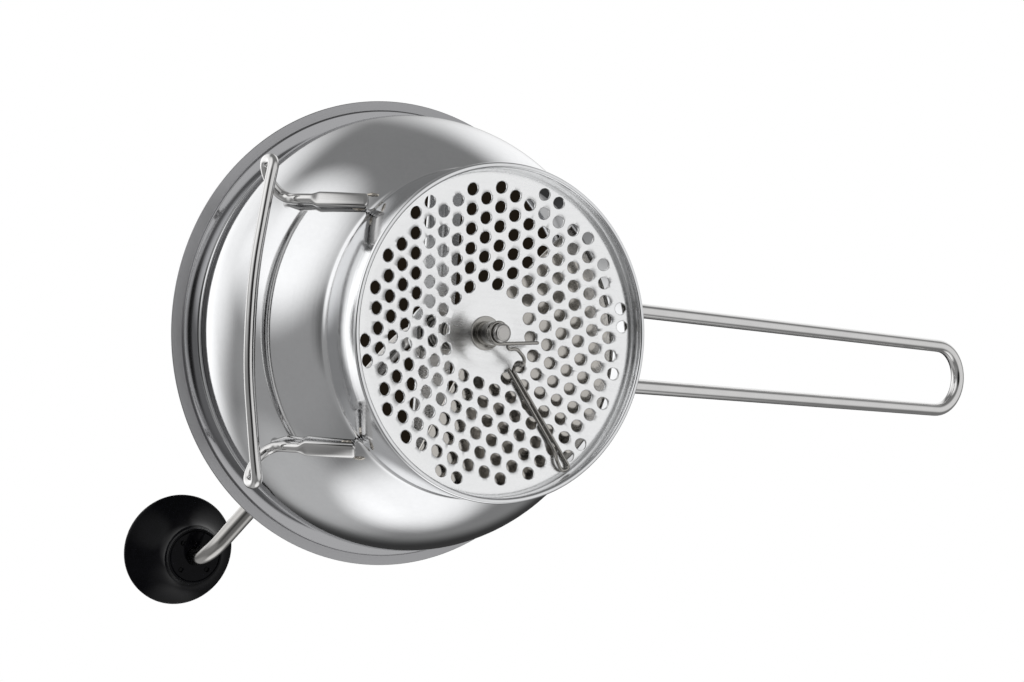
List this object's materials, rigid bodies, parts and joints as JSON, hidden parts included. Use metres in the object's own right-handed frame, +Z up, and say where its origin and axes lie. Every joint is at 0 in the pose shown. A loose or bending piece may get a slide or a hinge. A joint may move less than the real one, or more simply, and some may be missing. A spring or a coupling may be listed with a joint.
{
  "type": "rotary food mill",
  "caption": "Hand-cranked rotary food mill: a polished bowl with a perforated disc in its neck, a sprung blade and wire scraper on a bent crank, a wire loop handle and a wire front support.",
  "frame": {"origin": "centre of the neck's lip, in the plane that the mill stands on", "axes": "+Z up along the bowl's axis, +X towards the handle"},
  "size_m": [0.4615, 0.2733, 0.2034],
  "materials": {
    "polished_steel": "polished stainless steel",
    "brushed_steel": "brushed stainless steel",
    "disc_steel": "satin perforated sheet",
    "rod_steel": "satin drawn rod",
    "spring_steel": "bright spring steel",
    "black_plastic": "glossy black moulding",
    "bearing_bronze": "sintered bearing metal"
  },
  "bodies": {
    "bowl": {"bowl": "polished_steel", "handle_loop": "polished_steel", "front_support": "polished_steel", "bridge_lug_left": "brushed_steel", "bridge_lug_right": "brushed_steel", "bridge_bar": "brushed_steel", "bridge_bush": "bearing_bronze", "bush_ring": "brushed_steel", "perforated_disc": "disc_steel", "disc_eyelet": "disc_steel"},
    "crank": {"crank_rod": "rod_steel", "drive_pin": "spring_steel", "retaining_ring": "spring_steel", "spring_upper_washer": "spring_steel", "compression_spring": "spring_steel", "scraper_sleeve": "spring_steel", "scraper_wire": "spring_steel", "knob_clip": "spring_steel"},
    "rotor": {"rotor_hub": "brushed_steel", "rotor_blade": "polished_steel", "spring_lower_washer": "spring_steel"},
    "knob": {"knob_shell": "black_plastic", "knob_cap": "black_plastic", "knob_washer": "spring_steel"}
  },
  "joints": [
    {"name": "crank_spin", "type": "hinge", "parent": "bowl", "child": "crank", "pos_m": [0, 0, 0], "axis": [0, 0, 1], "continuous": true},
    {"name": "rotor_lift", "type": "slide", "parent": "crank", "child": "rotor", "axis": [0, 0, 1], "range_m": [0, 0.003], "stiffness_N_per_m": 1500, "springref_m": -0.01, "deforming": ["compression_spring"]},
    {"name": "knob_spin", "type": "hinge", "parent": "crank", "child": "knob", "pos_m": [-0.07737, 0.12381, 0.171], "axis": [0, 0, 1], "continuous": true}
  ]
}
